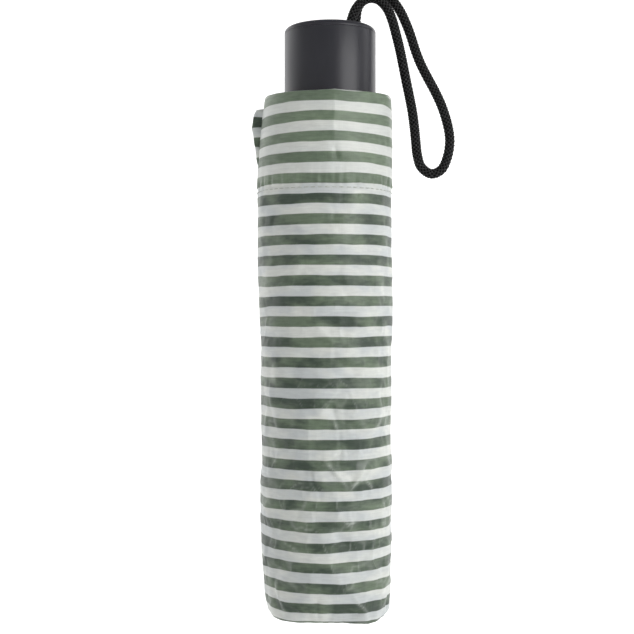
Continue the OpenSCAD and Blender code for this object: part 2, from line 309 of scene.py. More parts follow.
def striped_cloth(name, start, painted_light_scale=1.0, hem=None):
    """Printed pongee: green and white bands across the cloth, fine streaks of yarn, and soft patches of
    painted shade where the dark inside shows through.
    Above hem the cloth lies double, so it is painted with less of that shade and a lighter green. The
    brightness factor paints the whole cloth lighter or darker, as painted light."""
    n = Nodes(name)
    along = n.add("ShaderNodeSeparateXYZ", {0: n.place("Cloth", (1, 1, 1))}).outputs["Y"]
    streaks = n.noise(n.place("Cloth", (70, 2600, 1)), detail=2.0)
    cross_yarn = n.noise(n.place("Cloth", (3200, 110, 1)), detail=2.0)
    slubs = n.noise(n.place("Cloth", (210, 900, 1)), detail=3.0, roughness=0.6)
    cloudy = n.noise(n.place("Object", (52, 52, 105)), detail=3.5, roughness=0.6)
    drift = n.noise(n.place("Object", (40, 40, 60)), detail=2.0)
    ragged = n.plus(n.times(n.math("SUBTRACT", streaks, 0.5), 0.035),
                    n.times(n.math("SUBTRACT", drift, 0.5), 0.22))
    turns = n.plus(n.math("DIVIDE", n.math("SUBTRACT", along, start), STRIPE_PITCH), ragged)
    wave = n.math("SINE", n.times(turns, 2 * pi))
    is_white = n.ramp(wave, -0.1, 0.1)
    # painted shade: cloudy patches where the dark inside of the sleeve shows through darken both the green
    # and the white bands
    shade_patches = n.ramp(cloudy, 0.4, 0.6)
    if hem is None:
        single, painted_shade = 0.5, shade_patches
    else:
        single = n.ramp(along, hem + 0.5 * MM, hem - 0.5 * MM)
        painted_shade = n.times(shade_patches, n.ramp(single, 0, 1, 0.35, 1))
    # painted shade: the single layer below the hem is painted a darker green than the doubled hem above it
    layer_shaded_green = n.mix(single, scaled(GREEN, 1.42 * painted_light_scale), scaled(GREEN, 1.16 * painted_light_scale))
    green = n.mix(painted_shade, layer_shaded_green, scaled((0.046, 0.070, 0.049), painted_light_scale))
    white = n.mix(painted_shade, scaled(WHITE, 1.06 * painted_light_scale), scaled((0.61, 0.645, 0.645), painted_light_scale))
    bands = n.mix(is_white, green, white)
    if hem is not None:
        # the cloth is painted toward a pale grey-green along the crests of its creases
        crest_tint = n.add("ShaderNodeAttribute", attribute_name="crest_tint").outputs["Fac"]
        bands = n.mix(n.times(crest_tint, 0.55), bands, (0.66, 0.70, 0.65, 1))
    yarn = n.times(n.ramp(streaks, 0.25, 0.75, 0.9, 1.1), n.ramp(cross_yarn, 0.2, 0.8, 0.95, 1.05))
    yarn = n.times(yarn, n.ramp(slubs, 0.3, 0.7, 0.84, 1.16))
    strength = n.ramp(is_white, 0, 1, 1.0, 0.35)
    yarn = n.plus(1.0, n.times(n.math("SUBTRACT", yarn, 1.0), strength))
    colour = n.add("ShaderNodeVectorMath", {0: bands}, operation="SCALE")
    n.put(colour.inputs["Scale"], yarn)
    weave = n.plus(n.plus(streaks, cross_yarn), n.times(slubs, 2.0))
    rough = n.ramp(cloudy, 0.3, 0.7, 0.38, 0.5)
    return n.finish(Base_Color=colour.outputs[0], Roughness=rough, Sheen_Weight=0.15,
                    Specular_IOR_Level=0.5, Normal=n.bump(weave, 0.3, 0.12 * MM))


def moulded_plastic(name, value, tint, roughness, grain=0.05):
    """Moulded plastic with a fine spark-eroded grain and a slightly rubbed, uneven gloss."""
    n = Nodes(name)
    fine = n.noise(n.place("Object", (5200, 5200, 5200)), detail=2.0)
    wide = n.noise(n.place("Object", (120, 120, 60)), detail=3.0)
    colour = n.mix(n.ramp(wide, 0.3, 0.7), grey(value * 0.93, tint), grey(value * 1.07, tint))
    uneven = n.plus(wide, n.times(fine, 0.3))
    rough = n.ramp(uneven, 0.4, 0.9, roughness - 0.04, roughness + 0.05)
    return n.finish(Base_Color=colour, Roughness=rough, Normal=n.bump(fine, grain, 0.05 * MM))


def drawn_metal(name, value, tint, roughness):
    """Metal with fine lines along Z, the way it was drawn or rolled, and a few dull patches."""
    n = Nodes(name)
    lines = n.noise(n.place("Object", (900, 900, 30)), detail=3.0)
    dull = n.noise(n.place("Object", (180, 180, 60)), detail=4.0)
    colour = n.mix(n.ramp(lines, 0.3, 0.7), grey(value * 0.9, tint), grey(value * 1.06, tint))
    rough = n.ramp(n.plus(lines, dull), 0.7, 1.3, roughness - 0.07, roughness + 0.1)
    return n.finish(Base_Color=colour, Roughness=rough, Metallic=1.0, Normal=n.bump(lines, 0.08, 0.04 * MM))


def braided_yarn(name):
    """Black polyester yarn. The plait is in the mesh, and here are the painted shade in the gaps between
    strands and the filaments, flecked with painted glints.
    The cloth coordinates count strands, so a and b are whole numbers along their middles."""
    n = Nodes(name)
    count = n.add("ShaderNodeSeparateXYZ", {0: n.place("Cloth", (1, 1, 1))}).outputs
    a = n.plus(count["X"], count["Y"])
    b = n.math("SUBTRACT", count["X"], count["Y"])
    between_a = n.math("ABSOLUTE", n.math("SINE", n.times(a, pi)))
    between_b = n.math("ABSOLUTE", n.math("SINE", n.times(b, pi)))
    gap = n.times(between_a, between_b)
    filaments = n.noise(n.place("Cloth", (9, 5, 1)), detail=3.0, roughness=0.65)
    # painted highlights: pale flecks along the filaments stand for glints on the black yarn
    yarn = n.mix(n.ramp(filaments, 0.46, 0.66), grey(0.003, (1, 1, 1.05)), grey(0.11, (1, 1, 1.03)))
    # painted shade: the gaps between the strands are painted near black
    colour = n.mix(n.ramp(gap, 0.08, 0.42), yarn, grey(0.0006))
    rough = n.ramp(gap, 0.1, 0.6, 0.42, 0.95)
    return n.finish(Base_Color=colour, Roughness=rough, Specular_IOR_Level=0.28,
                    Normal=n.bump(filaments, 0.6, 0.2 * MM))


def sewing_thread(name):
    """Pale green-grey twisted thread."""
    n = Nodes(name)
    twist = n.noise(n.place("Object", (3000, 3000, 3000)), detail=1.0)
    colour = n.mix(n.ramp(twist, 0.3, 0.7), (0.42, 0.45, 0.40, 1), (0.66, 0.68, 0.64, 1))
    return n.finish(Base_Color=colour, Roughness=0.6, Normal=n.bump(twist, 0.4, 0.1 * MM))


MATERIALS = {
    "sleeve": striped_cloth("sleeve cloth", STRIPE_START, hem=HEM_Z),
    # painted light and shade: the tab is the same cloth painted 10% lighter, the canopy the same cloth
    # painted 5% darker
    "tab": striped_cloth("tab cloth", STRIPE_START + 1.5 * MM, painted_light_scale=1.1),
    "canopy": striped_cloth("canopy cloth", 0.0, painted_light_scale=0.95),
    "handle": moulded_plastic("handle plastic", 0.019, (1, 1, 1.4), 0.33),
    "black": moulded_plastic("black nylon", 0.022, (1, 1, 1), 0.42, grain=0.12),
    "socket": moulded_plastic("grey nylon", 0.08, (1, 1, 1.03), 0.45, grain=0.12),
    "shaft": drawn_metal("shaft steel", 0.56, (1, 1, 1.02), 0.24),
    "bright": drawn_metal("bright steel", 0.68, (1, 1, 1), 0.18),
    "rib": drawn_metal("rib steel", 0.42, (1, 1, 1.03), 0.32),
    "wire": drawn_metal("tip wire", 0.16, (1, 1, 1.04), 0.38),
    "cord": braided_yarn("cord yarn"),
    "thread": sewing_thread("sewing thread"),
}


# ---- camera, floor and lights ----

CAMERA_AT = Vector((-5.4 * MM, -0.5, 121.3 * MM))
CAMERA_LENS = 68.8  # on Blender's 36 mm sensor
SKY = 0.38
PAPER_GLOW = (0.0, 0.62)  # in front of the object and behind it
KEY_WATTS, FILL_WATTS = 9.2, 0.5
FLOOR_Z = -0.58  # below the sleeve when it and the shaft are drawn right out


def make_camera():
    """A level camera in front of the object, a little to its left."""
    data = bpy.data.cameras.new("camera")
    data.lens = CAMERA_LENS
    data.clip_start, data.clip_end = 0.01, 20
    camera = bpy.data.objects.new("camera", data)
    camera.location = CAMERA_AT
    camera.rotation_euler = (math.radians(90), 0, 0)
    scene.collection.objects.link(camera)
    scene.camera = camera


def make_light(name, place, size, watts, colour=(1, 1, 1)):
    data = bpy.data.lights.new(name, "AREA")
    data.shape, data.size, data.size_y = "RECTANGLE", size[0], size[1]
    data.energy, data.color = watts, colour
    light = bpy.data.objects.new(name, data)
    light.location = place
    aim = Vector((0, 0, 0.12)) - Vector(place)
    light.rotation_euler = aim.to_track_quat("-Z", "Y").to_euler()
    scene.collection.objects.link(light)


def make_studio():
    """A round pale floor that curves up into a wall, brightest behind the object, with a soft box to the
    right of the camera, a weak fill behind on the left and an even sky."""
    flat, bend, rise = 3.0, 1.2, 3.6
    turn = np.linspace(0, pi / 2, 14)
    line = [(0, 0)] + [(flat + bend * math.sin(a), bend * (1 - math.cos(a))) for a in turn]
    line.append((flat + bend, rise))
    angle = full_turn(64)
    points = np.array([[(r * math.sin(a), -r * math.cos(a), FLOOR_Z + z) for a in angle] for r, z in line])
    n = Nodes("studio paper")
    fibre = n.noise(n.place("Object", (30, 30, 30)), detail=3.0)
    paper = n.mix(fibre, (0.84, 0.84, 0.84, 1), (0.88, 0.88, 0.88, 1))
    behind = n.add("ShaderNodeSeparateXYZ", {0: n.place("Object", (1, 1, 1))}).outputs["Y"]
    glow = n.ramp(behind, -0.5, 1.2, *PAPER_GLOW)
    floor = grid_piece("studio_floor", points, wrap_columns=True, material=n.finish(
        Base_Color=paper, Roughness=0.9, Emission_Color=(1, 1, 1, 1), Emission_Strength=glow))
    make_light("key_softbox", (1.02, -0.92, 0.42), (1.05, 0.9), KEY_WATTS)
    make_light("left_fill", (-1.1, 0.75, 0.3), (0.6, 1.0), FILL_WATTS)
    world = bpy.data.worlds.new("sky")
    world.use_nodes = True
    light = world.node_tree.nodes["Background"].inputs
    light["Color"].default_value = (1, 1, 1, 1)
    light["Strength"].default_value = SKY
    scene.world = world


# ---- the wrist cord and its knot ----

BRAID_STRANDS, BRAID_PITCH = 7, 1.7 * MM
BRAID_DEPTH = 0.34  # of the radius, from the top of a strand down to the gaps
BRAID_SWELL = 1.06  # strand tops stand out past the cord's nominal radius


def braid_relief(angle, along, strands, pitch):
    """Height from 0 to 1 of a plait in which two sets of strands pass over and under each other."""
    a = strands * angle / (2 * pi) + along / pitch
    b = strands * angle / (2 * pi) - along / pitch
    i, j = np.round(a), np.round(b)
    first = 0.62 * (1 - (2 * (a - i)) ** 2) + 0.38 * np.cos(pi * (b - i))
    second = 0.62 * (1 - (2 * (b - j)) ** 2) - 0.38 * np.cos(pi * (a - j))
    return np.maximum(first, second)


def steady_frames(centre, closed=False):
    """For each point of a line, its direction and two normals that don't spin along it."""
    if closed:
        forward = np.roll(centre, -1, 0) - np.roll(centre, 1, 0)
    else:
        forward = np.gradient(centre, axis=0)
    forward /= np.linalg.norm(forward, axis=1)[:, None]
    side = np.cross(forward[0], (0.1, 1, 0.05))
    sides = []
    for direction in forward:
        side = side - direction * (side @ direction)
        side = side / np.linalg.norm(side)
        sides.append(side)
    sides = np.array(sides)
    return forward, sides, np.cross(forward, sides)


def braided_tube(name, centre, along, radius, strands, pitch, relief, closed=False):
    """A tube along centre with the plait in its surface. along is the length run at each point."""
    _, side, up = steady_frames(centre, closed)
    count = strands * 7
    angle = full_turn(count)
    twist = np.zeros(len(centre))
    if closed:
        gap = math.atan2(side[0] @ up[-1], side[0] @ side[-1])
        twist = np.linspace(0, gap, len(centre))
    turned = angle[None, :] + twist[:, None]
    height = braid_relief(angle[None, :], along[:, None], strands, pitch)
    r = radius * (1 - relief * (1 - height))
    ring = np.cos(turned)[..., None] * side[:, None] + np.sin(turned)[..., None] * up[:, None]
    points = centre[:, None] + r[..., None] * ring
    columns = np.linspace(0, strands, count + 1)
    rows = np.concatenate([along, [2 * along[-1] - along[-2]]]) if closed else along
    uv = stacked(columns[None, :], rows[:, None] / pitch)
    if not closed:
        tip = [points[0].mean(0), points[-1].mean(0)]
        points = np.concatenate([np.broadcast_to(tip[0], points[:1].shape), points,
                                 np.broadcast_to(tip[1], points[:1].shape)])
        uv = np.concatenate([uv[:1], uv, uv[-1:]])
    return grid_piece(name, points, uv, closed, True, MATERIALS["cord"])


def make_cord():
    """The wrist cord leaves the end cap, arches over, hangs and comes back."""
    centre, along = curve_through(CORD_ROUTE, 0.24 * MM)
    cord = braided_tube("wrist_cord_braid", centre, along, CORD_D / 2 * BRAID_SWELL,
                        BRAID_STRANDS, BRAID_PITCH, BRAID_DEPTH)
    stand_in(cord, "wrist_cord", "handle")


def make_knot():
    """The cord's two ends are tied inside the handle: a trefoil pulled tight under the end cap."""
    strand, strand_pitch, lift = 1.25 * MM, 1.6 * MM, 2.4 * MM
    size = (KNOT_HIGH.x - KNOT_LOW.x) / 2 - strand
    t = full_turn(360)
    middle = (KNOT_LOW + KNOT_HIGH) / 2
    centre = np.stack([middle.x + size / 3 * (np.sin(t) + 2 * np.sin(2 * t)),
                       middle.y + size / 3 * (np.cos(t) - 2 * np.cos(2 * t)),
                       middle.z - lift * np.sin(3 * t)], 1)
    step = np.linalg.norm(np.roll(centre, -1, 0) - centre, axis=1)
    along = np.concatenate([[0], np.cumsum(step)[:-1]])
    # a pitch at which the plait closes on itself
    pitch = (along[-1] + step[-1]) / (2 * round(step.sum() / (2 * strand_pitch)))
    knot = braided_tube("cord_knot_trefoil", centre, along, strand, 5, pitch, 0.3, closed=True)
    stand_in(knot, "cord_knot", "handle")


# ---- the handle ----

def make_handle():
    """A plain moulded shell and an end cap with a slot for the cord."""
    r, foot, top = HANDLE_R, SHELL_LOW.z, SHELL_HIGH.z
    wall, floor_t, bore = 2.2 * MM, 3 * MM, 4 * MM
    rim = top - 0.03 * MM                # a hair under the cap, which makes the parting line
    shell = lathe("handle_shell_moulding", [
        (bore, foot), (r, foot), (r, rim), (r - wall, rim),
        (r - wall, foot + floor_t), (bore, foot + floor_t)], MATERIALS["handle"], bevel=0.14 * MM)
    stand_in(shell, "handle_shell", "handle")
    cap = end_cap("handle_end_cap_moulding", top)
    stand_in(cap, "handle_end_cap", "handle")


def slot_outline(a, grow=0.0):
    """The outline of the cord's slot, a stretched circle, at each angle a."""
    ends = np.array([CORD_ROUTE[0][:2], CORD_ROUTE[-1][:2]])
    middle, half = ends.mean(0), (ends[1] - ends[0]) / 2
    radius = CORD_D / 2 + 0.15 * MM + grow
    way = np.stack([np.sin(a), -np.cos(a)], 1)
    lean = np.sign(way @ half)[:, None] * half
    blunt = smoothstep(np.abs(way @ half) / np.linalg.norm(half), 0.0, 0.35)[:, None]
    return middle + lean * blunt + way * radius


def end_cap(name, foot):
    """Rings that run from the slot over the top face, round the edge, down and back underneath."""
    sides, edge, spigot_t, spigot_h = 160, 2 * MM, 2 * MM, 5 * MM
    a = full_turn(sides)
    circle = np.stack([np.sin(a), -np.cos(a)], 1)
    spigot = HANDLE_R - 2.3 * MM
    rings = []

    def ring(flat, z):
        rings.append(np.concatenate([flat, np.full((sides, 1), z)], 1))

    lip = 0.5 * MM
    ring(slot_outline(a), foot)
    for turn in np.linspace(0, pi / 2, 5):
        ring(slot_outline(a, lip * (1 - math.cos(turn))), HANDLE_TOP - lip * (1 - math.sin(turn)))
    for share in (0.3, 0.65):
        ring((1 - share) * slot_outline(a, lip) + share * circle * (HANDLE_R - edge), HANDLE_TOP)
    for turn in np.linspace(0, pi / 2, 9):
        ring(circle * (HANDLE_R - edge + edge * math.sin(turn)), HANDLE_TOP - edge * (1 - math.cos(turn)))
    ring(circle * HANDLE_R, foot + 0.12 * MM)
    ring(circle * (HANDLE_R - 0.08 * MM), foot + 0.02 * MM)
    ring(circle * spigot, foot + 0.01 * MM)
    ring(circle * spigot, foot - spigot_h)
    ring(circle * (spigot - spigot_t), foot - spigot_h)
    ring(circle * (spigot - spigot_t), foot)
    cap = grid_piece(name, np.array(rings), wrap_rows=True, wrap_columns=True, material=MATERIALS["handle"])
    sharpen(cap)
    return cap


# ---- the sleeve ----

# radius of the sleeve and the place of its middle along X, by height, all in millimetres
SLEEVE_RADII = [(0.5, 23.8), (1.6, 24.7), (3.2, 25.2), (8, 25.8), (18, 26.3), (40, 26.8), (70, 26.7),
                (95, 26.9), (125, 27.4), (155, 27.6), (174, 27.7), (190, 27.1), (204, 26.5), (211, 26)]
SLEEVE_MIDDLES = [(0, -0.6), (6, -1.2), (40, -1.7), (100, -1.6), (150, -2.1), (176, -2.3),
                  (195, -1.5), (211, -0.8)]
# how far the base stands out from its round outline, by the angle from the front in degrees
BASE_CORNERS = [(-180, 0.6), (-155, -0.8), (-128, 1.2), (-100, 0), (-72, 0.3), (-60, 1.4),
                (-47, 2.2), (-34, 0.8), (-20, -1.4), (0, -2.6), (14, -2.0), (24, 1.0), (34, 4.6),
                (44, 3.4), (58, 1.0), (75, 0), (105, 0.4), (128, 1.6), (150, -0.6), (180, 0.6)]
SLEEVE_T = 0.5 * MM
MEAN_R = 27.2 * MM  # turns an angle round the sleeve into a place on the cloth
AROUND = 2 * pi * MEAN_R / MM  # millimetres of cloth round the sleeve
HEM = HEM_Z / MM
SEAM_X = -AROUND * 0.275  # the tube's own seam runs up the left, just behind the tab
STRIPE_TOP = 209.9 * MM  # the rolled top edge keeps the colour of the last stripe

# folds that stay in the cloth, each a line of (millimetres round from the front, height), with its
# height and width in millimetres; a negative height is a valley
CREASES = [
    ([(2.4, 211), (2.3, 198), (3, 188)], 0.85, 3.4),
    ([(2.9, 188.5), (4.4, 184), (6.4, 181.6)], -1.2, 1.0),
    ([(4.6, 187), (7.2, 182.6)], 0.6, 1.2),
    ([(2.2, 82), (5, 75)], 0.9, 0.9),
    ([(-1.5, 66), (4, 59.5), (8.4, 54.6)], 1.0, 0.95),
    ([(8.4, 54.6), (15.5, 57.4), (20, 62)], 0.85, 0.9),
    ([(9, 52), (17, 64)], 0.75, 0.85),
    ([(14, 59), (21.5, 52.6)], 0.75, 0.85),
    ([(5, 60), (6, 72), (2, 88)], -0.6, 1.8),
    ([(-7, 84), (-7.4, 66), (-6, 40)], 0.45, 1.8),
    ([(-14, 106), (-15, 70), (-14, 30)], -0.4, 2.6),
    ([(3, 44), (9, 40), (17, 42)], 0.75, 0.9),
    ([(7, 38), (14, 44)], 0.6, 0.85),
    ([(2, 36), (8, 33), (14, 35)], -0.6, 1.2),
    ([(9.6, 13), (13, 8.4), (17.6, 4.4)], 1.1, 1.0),
    ([(4, 3.4), (10, 2.2), (17.5, 4.6)], 1.1, 1.1),
    ([(6, 6.4), (12, 4.6), (19, 8.2)], -1.1, 1.3),
    ([(-22, 11), (-14, 7), (-8, 4.2)], 0.9, 1.2),
    ([(-24, 14), (-20, 6), (-18, 2)], 0.7, 1.0),
    ([(-13, 158), (-5, 154), (6, 156)], 0.45, 1.4),
    ([(12, 150), (16, 140), (15, 122)], 0.45, 1.8),
    ([(-4, 118), (2, 112), (1, 100)], 0.5, 1.2),
    ([(1, 100), (10, 96), (18, 99)], -0.5, 1.3),
]

# the crumple's layers, each by the height of its facets and the size of one, in millimetres
FACETS = [(0.95, 17), (0.95, 9), (0.36, 4.5)]
SMALL_CREASES = 34
SMOOTH_SIDE, SMOOTH_LOW = 26, 90  # no small creases nearer the front than this and above this


def line_distance(x, z, line):
    """How far each point of the cloth is from a broken line."""
    nearest = np.full(x.shape, 1e9)
    for (x0, z0), (x1, z1) in zip(line[:-1], line[1:]):
        dx, dz = x1 - x0, z1 - z0
        t = np.clip(((x - x0) * dx + (z - z0) * dz) / (dx * dx + dz * dz), 0, 1)
        nearest = np.minimum(nearest, np.hypot(x - x0 - t * dx, z - z0 - t * dz))
    return nearest


def fold_height(x, z, line, height, width):
    """A sharp-topped fold that dies out towards both ends of its line."""
    ends = np.minimum(np.hypot(x - line[0][0], z - line[0][1]), np.hypot(x - line[-1][0], z - line[-1][1]))
    return height * np.exp(-line_distance(x, z, line) / width) * smoothstep(ends, -1.0, 4.0)


def waves(x, z, rng, count, least, most):
    """Smooth random swell made of a few waves, from -1 to 1 or so, that closes round the sleeve."""
    total = np.zeros(np.broadcast(x, z).shape)
    for _ in range(count):
        turns = round(rng.uniform(AROUND / most, AROUND / least)) * rng.choice((-1, 1))
        rise = rng.uniform(-1, 1) * 2 * pi / least * 0.6
        total = total + np.sin(2 * pi * turns * x / AROUND + rise * z + rng.uniform(0, 6.3))
    return total / math.sqrt(count)


def lattice_noise(x, z, cell, rng):
    """Smooth noise from -1 to 1 with features about one cell across, that closes round the sleeve."""
    columns, rows = round(AROUND / cell), round(260 / cell)
    lattice = np.array([[rng.uniform(-1, 1) for _ in range(columns)] for _ in range(rows)])
    u, v = x / AROUND * columns, (z + 20) / cell
    j, i = np.floor(u).astype(int), np.floor(v).astype(int)
    fu, fv = smoothstep(u - j), smoothstep(v - i)
    low = lattice[i % rows, j % columns] * (1 - fu) + lattice[i % rows, (j + 1) % columns] * fu
    high = lattice[(i + 1) % rows, j % columns] * (1 - fu) + lattice[(i + 1) % rows, (j + 1) % columns] * fu
    return low * (1 - fv) + high * fv


def crumple(x, z, cell, rng):
    """Flat facets of cloth that meet in sharp ridges and valleys about one cell apart: their height,
    and where the ridges run."""
    x = x + 0.5 * cell * lattice_noise(x, z, cell * 1.3, rng)
    z = z + 0.5 * cell * lattice_noise(x, z, cell * 1.3, rng)
    valleys, ridges = lattice_noise(x, z, cell, rng), lattice_noise(x, z, cell, rng)
    return np.abs(valleys) - np.abs(ridges), np.exp(-(ridges * cell / 0.5) ** 2)


def sleeve_relief(x, z):
    """How far the cloth stands out from its plain outline, in millimetres, at x round and z up, and
    how much the cloth is painted toward a pale grey-green there, from 0 to 1, along the crests of its
    creases."""
    rng = random.Random(SEED)
    x, z = np.broadcast_arrays(x, z)
    out = 0.12 * waves(x, z, rng, 7, 26, 90) + 0.05 * waves(x, z, rng, 8, 7, 18)
    # slackest low down, less so above the hem's stitches, and pulled taut at the two sides
    slack = (0.55 + 0.45 * smoothstep(-z, -140, -70)) * (1 - 0.45 * smoothstep(z, HEM, HEM + 4))
    taut = 1 - 0.6 * np.exp(-((np.abs(x) - AROUND / 4) / 8) ** 2)
    low_down = 0.2 + 0.8 * smoothstep(-z, -115, -60)
    # pale grey-green lines along the crumple's ridges, mostly low down, and along the narrow raised creases
    crest_tint = 0 * out
    for height, cell in FACETS:
        facets, ridges = crumple(x, z, cell, rng)
        out = out + slack * taut * height * facets
        crest_tint = crest_tint + 0.34 * low_down * ridges * smoothstep(lattice_noise(x, z, 14, rng), 0.0, 0.5)
    for line, height, width in CREASES:
        out = out + fold_height(x, z, line, height, width)
        if height > 0 and width < 1.1:
            crest_tint = crest_tint + fold_height(x, z, line, 0.75, 0.42)
    out = out + small_creases(x, z, rng) + hem_relief(x, z)
    # the side seam is a groove with a ridge beside it, where the edges are turned in
    for shift in (-AROUND, 0, AROUND):
        from_seam = x - SEAM_X + shift
        out = out - 0.32 * np.exp(-(from_seam / 0.7) ** 2) + 0.2 * np.exp(-((from_seam + 2.4) / 1.3) ** 2)
    return out, np.clip(crest_tint, 0, 1)


def small_creases(x, z, rng):
    """Short creases at random round the sleeve, but not on the smooth upper front."""
    out = 0
    for _ in range(SMALL_CREASES):
        x0, z0 = rng.uniform(-AROUND / 2, AROUND / 2), rng.uniform(6, 168)
        lean, length = rng.uniform(-1.3, 1.3), rng.uniform(7, 20)
        height, width = rng.uniform(0.12, 0.3) * rng.choice((-1, 1, 1)), rng.uniform(0.5, 1.2)
        if abs(x0) < SMOOTH_SIDE and z0 > SMOOTH_LOW:
            continue
        line = [(x0, z0), (x0 + length * 0.5 * math.sin(lean), z0 + length * 0.5 * math.cos(lean)),
                (x0 + length * math.sin(lean * 1.3), z0 + length * math.cos(lean * 1.3))]
        for shift in (-AROUND, 0, AROUND):
            out = out + fold_height(x + shift, z, line, height, width)
    return out


def hem_relief(x, z):
    """The row of stitches draws the cloth in, and the doubled hem above it puckers."""
    gathers = 0.6 * np.sin(2 * pi * 37 * x / AROUND + 1.4 * np.sin(x * 0.13))
    gathers = gathers + 0.5 * np.sin(2 * pi * 61 * x / AROUND + 2.0)
    below = 0.55 * np.exp(-np.maximum(0, HEM - z) / 1.2)
    above = np.exp(-np.maximum(0, z - HEM - 1) / 2.6)
    groove = -0.34 * np.exp(-((z - HEM + 0.5) / 0.55) ** 2) + 0.22 * smoothstep(z, HEM - 0.4, HEM + 0.3)
    return 0.34 * gathers * np.where(z > HEM, above, below) + groove


def sleeve_point(angle, z, radius):
    """A place on the sleeve, from the angle round from the front, the height and the radius."""
    middle = np.interp(z / MM, *zip(*SLEEVE_MIDDLES)) * MM
    dip = (0.2 - 1.2 * np.cos(angle) + 0.4 * np.exp(-np.abs(angle - 0.09) / 0.1)) * MM
    z = z + dip * smoothstep(z, 205 * MM, 211 * MM)
    return stacked(middle + radius * np.sin(angle), -radius * np.cos(angle), z)


def sleeve_radius(angle, z):
    """The sleeve's outer radius there, relief included. Its base is a round one pulled into corners."""
    plain = np.interp(z / MM, *zip(*SLEEVE_RADII)) * MM
    corner = np.interp(np.degrees(angle), *zip(*BASE_CORNERS)) * MM * np.exp(-z / (5 * MM))
    relief, _ = sleeve_relief(angle * MEAN_R / MM, z / MM)
    return plain + corner + relief * MM * smoothstep(z, -2 * MM, 4 * MM)


def make_sleeve():
    """The sleeve as one closed skin: gathered base, wall, rolled lip and inside."""
    columns = 288
    angle = np.linspace(-pi, pi, columns, endpoint=False)[None, :]
    outer_z = np.concatenate([np.linspace(0.5, 6, 10), np.linspace(6.8, 211, 262)])[:, None] * MM
    outer = sleeve_point(angle, outer_z + 0 * angle, sleeve_radius(angle, outer_z))
    base_r = outer[0, :, :2] - sleeve_point(angle, np.full((1, 1), outer_z[0, 0]), 0 * angle)[0, :, :2]
    middle = outer[0, :, :2] - base_r
    pleats = 0.25 * MM * (1 + np.sin(angle[0] * 23 + 1.5 * np.sin(angle[0] * 3)))
    floor_rows = []
    for share in (0, 0.12, 0.3, 0.5, 0.7, 0.85, 0.93):
        puffed = pleats * math.sin(pi * share) * (share > 0)
        floor_rows.append(np.concatenate([middle + base_r * share, puffed[:, None]], 1))
    floor_rows = np.array(floor_rows)
    inner_z = np.concatenate([[211, 209.5, 207], np.linspace(203, 6, 34), [2.5, 0.9]])[:, None] * MM
    inner_radius = sleeve_radius(angle, inner_z) - SLEEVE_T
    inner = sleeve_point(angle, inner_z + 0 * angle, inner_radius)
    lip = (outer[-1:] + inner[:1]) / 2 + (0, 0, 0.25 * MM)
    floor_z = np.full((columns, 1), 0.75 * MM)
    inner_floor = np.stack([np.concatenate([middle + base_r * share * 0.95, floor_z], 1)
                            for share in (0.7, 0.35, 0)])
    points = np.concatenate([floor_rows, floor_rows[-1:], outer, lip, inner, inner_floor])
    uv = sleeve_uv(points, len(floor_rows))
    crest_tint = np.zeros(points.shape[:2])
    first = len(floor_rows) + 1
    crest_tint[first:first + len(outer)] = sleeve_relief(angle * MEAN_R / MM, outer_z / MM)[1]
    sleeve = grid_piece("sleeve_cloth", points, uv, False, True, MATERIALS["sleeve"], crest_tint)
    part_of_sleeve(sleeve)
    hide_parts("sleeve")


def sleeve_uv(points, floor_rows):
    """The base takes the cloth straight across, and the wall takes it round and up, in metres. The
    cloth is drawn under at the foot of the wall, most at the pulled-out corner."""
    rows, columns = points.shape[:2]
    uv = np.zeros((rows, columns + 1, 2))
    closed = np.concatenate([points, points[:, :1]], 1)
    uv[:floor_rows] = closed[:floor_rows, :, :2] * (1, -1) - (0, 24.4 * MM)
    angle = np.linspace(-pi, pi, columns + 1)[None, :]
    uv[floor_rows:, :, 0] = angle * MEAN_R
    height = closed[floor_rows:, :, 2]
    tucked = 1.3 * MM + 2.4 * MM * np.exp(-((angle - 0.6) / 0.2) ** 2)
    turned_under = tucked * np.clip(1 - height / (3.4 * MM), 0, 1) ** 2
    uv[floor_rows:, :, 1] = np.minimum(height - turned_under, STRIPE_TOP)
    return uv


def part_of_sleeve(piece):
    """The piece rides on the sleeve's body, with a mesh of its own."""
    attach(piece, "sleeve")
    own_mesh(piece)


# shares along a stitch, from where it leaves the cloth, and how thick it is there
STITCH_SHAPE = [(-0.02, 0.0), (0.04, 0.75), (0.25, 1.0), (0.5, 1.06), (0.75, 1.0), (0.96, 0.75), (1.02, 0.0)]
STITCH_LENGTH = 1.9 * MM
THREAD_R = 0.17 * MM
HEM_STITCHES, SEAM_STITCHES = 62, 58
SEAM_STITCH_STEP = 2.8 * MM


def thread_run(starts, ends, outward, radius):
    """Short rounded stitches as rings swept from each start to each end, in one array per stitch."""
    stitches = []
    for start, end, out in zip(starts, ends, outward):
        along = end - start
        side = np.cross(along / np.linalg.norm(along), out)
        rings = []
        for t, swell in STITCH_SHAPE:
            middle = start + along * t + out * radius * 0.9 * math.sin(pi * min(max(t, 0), 1))
            ring = [middle + radius * swell * (math.cos(a) * side + math.sin(a) * out)
                    for a in full_turn(6)]
            rings.append(ring)
        stitches.append(np.array(rings))
    return stitches


